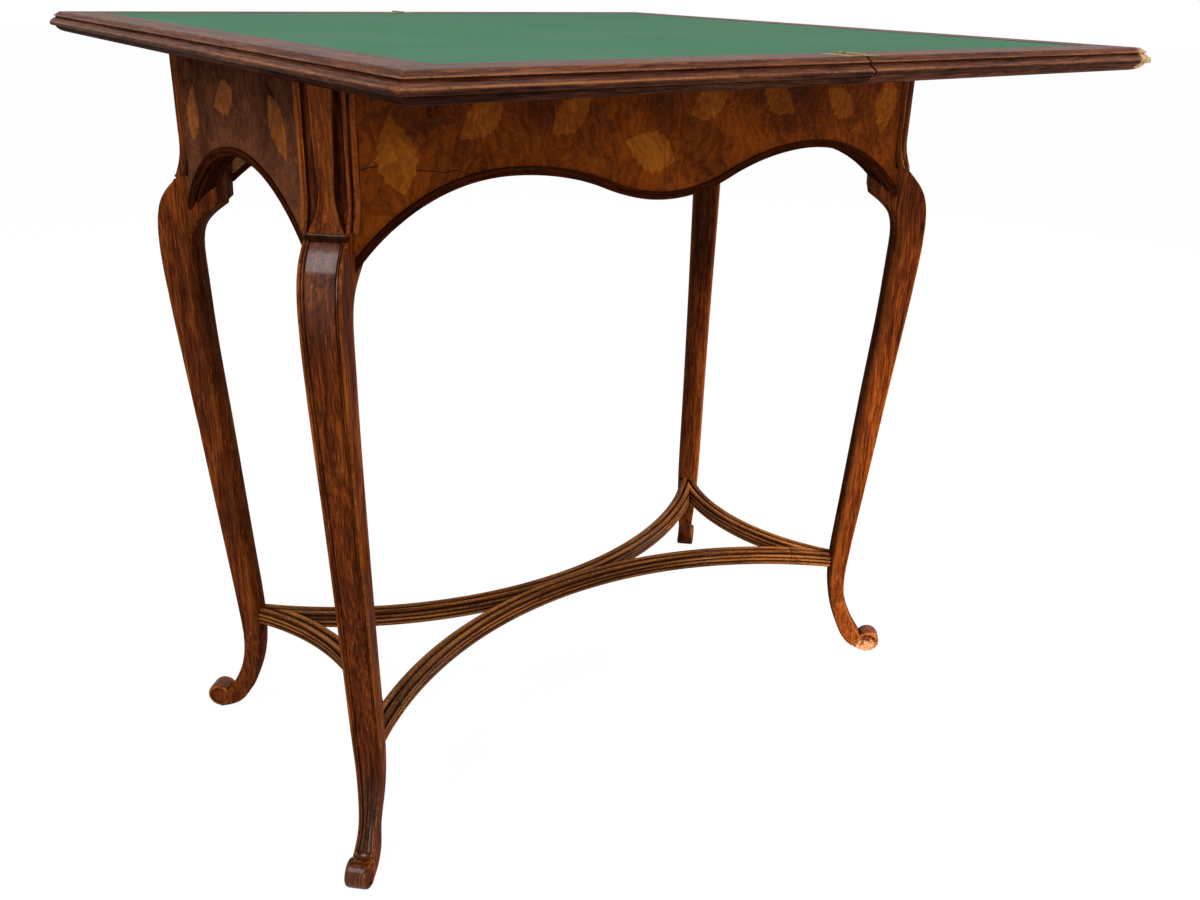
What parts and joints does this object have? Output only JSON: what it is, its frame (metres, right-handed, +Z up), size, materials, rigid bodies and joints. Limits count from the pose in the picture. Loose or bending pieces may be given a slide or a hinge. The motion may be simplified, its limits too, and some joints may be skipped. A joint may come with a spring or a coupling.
{
  "type": "games table",
  "caption": "Card table whose fold-over, baize-lined top turns on a pivot above a shaped apron, with cabriole legs and curved stretchers.",
  "frame": {"origin": "on the floor below the middle of the base frame, with the seam of the opened top above it", "axes": "+Z up; +X along the long front of the apron to the right, from the fixed leaf to the folding leaf; +Y to the back"},
  "size_m": [0.786, 0.774, 0.7523],
  "materials": {
    "beech_stained": "stained beech or walnut, worn French polish",
    "carcase_pine": "plain secondary timber, unpolished",
    "burr_walnut": "burr veneer under French polish",
    "inlay_maple": "lighter shaded veneer let in as leaves, polished",
    "dark_walnut": "dark stained moulding, polished",
    "edge_walnut": "polished walnut with worn arrises",
    "leaf_mahogany": "thinly polished on the underside",
    "baize_green": "fine woollen baize",
    "lining_green": "baize lining",
    "brass_aged": "darkened with age",
    "steel_dull": "dull, slightly rusted"
  },
  "bodies": {
    "base": {"arch_bead_back": "dark_walnut", "arch_bead_front": "dark_walnut", "arch_bead_left": "dark_walnut", "arch_bead_right": "dark_walnut", "cross_rail": "carcase_pine", "inlay_back": "inlay_maple", "inlay_front": "inlay_maple", "inlay_left": "inlay_maple", "inlay_right": "inlay_maple", "leg_back_left": "beech_stained", "leg_back_right": "beech_stained", "leg_front_left": "beech_stained", "leg_front_right": "beech_stained", "rail_back": "carcase_pine", "rail_front": "carcase_pine", "rail_left": "carcase_pine", "rail_right": "carcase_pine", "stretcher_back": "beech_stained", "stretcher_front": "beech_stained", "stretcher_left": "beech_stained", "stretcher_right": "beech_stained", "veneer_back": "burr_walnut", "veneer_front": "burr_walnut", "veneer_left": "burr_walnut", "veneer_right": "burr_walnut", "well_bearers": "carcase_pine", "well_divider": "carcase_pine", "well_floor": "carcase_pine", "well_lining": "lining_green"},
    "swivel_top": {"pivot_plate": "steel_dull", "pivot_screws": "steel_dull", "pivot_washer": "steel_dull", "pivot_nut": "steel_dull", "stop_block": "carcase_pine", "stop_screws": "steel_dull", "fixed_leaf_board": "leaf_mahogany", "fixed_leaf_baize": "baize_green", "fixed_border_front": "edge_walnut", "fixed_border_back": "edge_walnut", "fixed_border_side": "edge_walnut", "hinge_plates_fixed": "brass_aged", "hinge_screws_fixed": "brass_aged", "hinge_pins": "brass_aged"},
    "folding_leaf": {"folding_leaf_board": "leaf_mahogany", "folding_leaf_baize": "baize_green", "folding_border_front": "edge_walnut", "folding_border_back": "edge_walnut", "folding_border_side": "edge_walnut", "hinge_plates_folding": "brass_aged", "hinge_screws_folding": "brass_aged"}
  },
  "joints": [
    {"name": "top_swivel", "type": "hinge", "parent": "base", "child": "swivel_top", "pos_m": [-0.09825, 0.09825, 0.7297], "axis": [0, 0, 1], "range_deg": [0, 90]},
    {"name": "leaf_fold", "type": "hinge", "parent": "swivel_top", "child": "folding_leaf", "pos_m": [0, 0, 0.75015], "axis": [0, -1, 0], "range_deg": [0, 180]}
  ]
}
